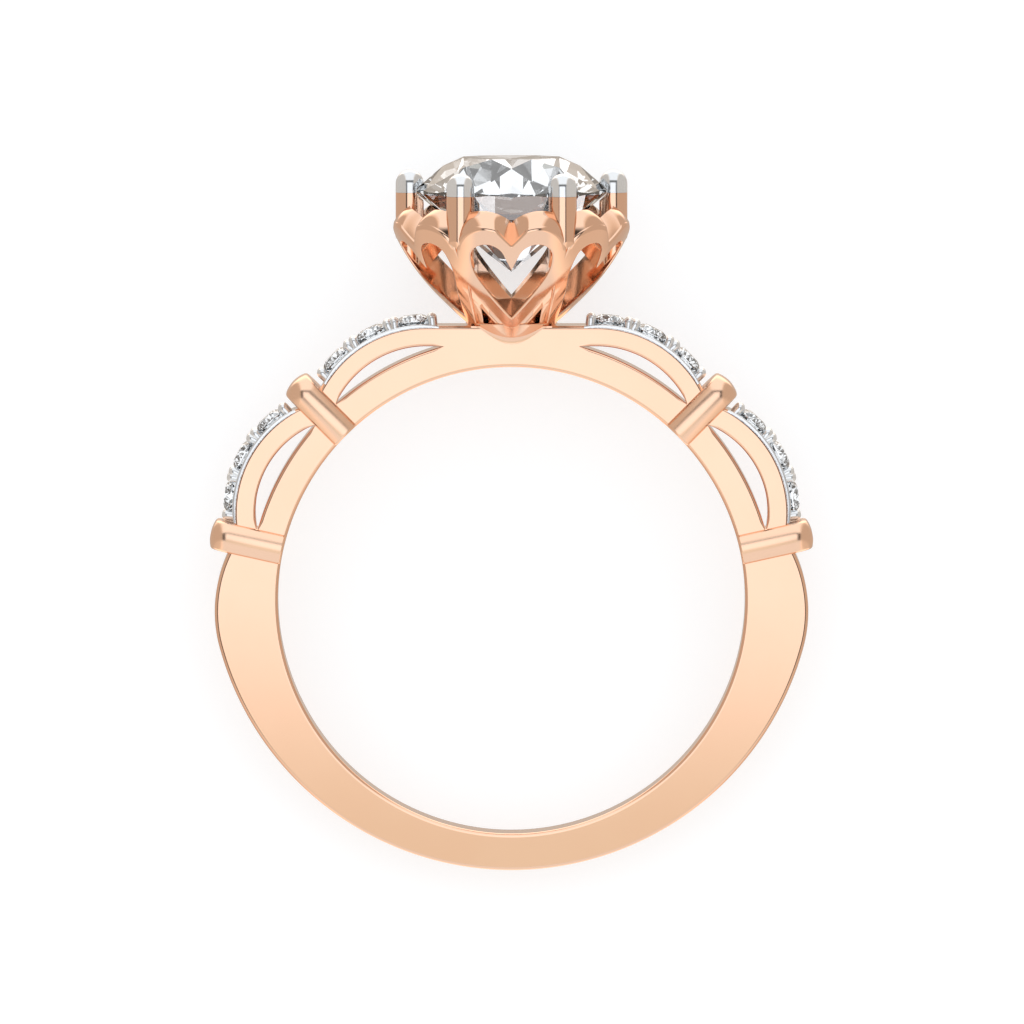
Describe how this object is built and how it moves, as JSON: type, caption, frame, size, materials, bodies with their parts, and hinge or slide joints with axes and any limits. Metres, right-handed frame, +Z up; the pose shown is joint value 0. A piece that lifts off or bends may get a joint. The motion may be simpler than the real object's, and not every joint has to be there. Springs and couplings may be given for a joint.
{
  "type": "solitaire ring",
  "caption": "Finger ring lying on its side: a round brilliant in a basket of pierced hearts, with twin arches, collars and small accent stones on each shoulder.",
  "frame": {"origin": "middle of the bounding box at the level of the surface that the ring lies on", "axes": "+Z up, +Y from the shank toward the head, +X across the finger bore"},
  "size_m": [0.0224, 0.0266, 0.0088],
  "materials": {
    "rose_gold": "polished 14 karat rose gold",
    "rhodium": "polished rhodium plating on the prong tips and stone rows",
    "diamond": "polished facets, colourless"
  },
  "bodies": {
    "root": {"ring_mounting": "rose_gold", "centre_stone": "diamond", "accent_stone_1": "diamond", "accent_stone_2": "diamond", "accent_stone_3": "diamond", "accent_stone_4": "diamond", "accent_stone_5": "diamond", "accent_stone_6": "diamond", "accent_stone_7": "diamond", "accent_stone_8": "diamond", "accent_stone_9": "diamond", "accent_stone_10": "diamond", "accent_stone_11": "diamond", "accent_stone_12": "diamond"}
  },
  "joints": []
}
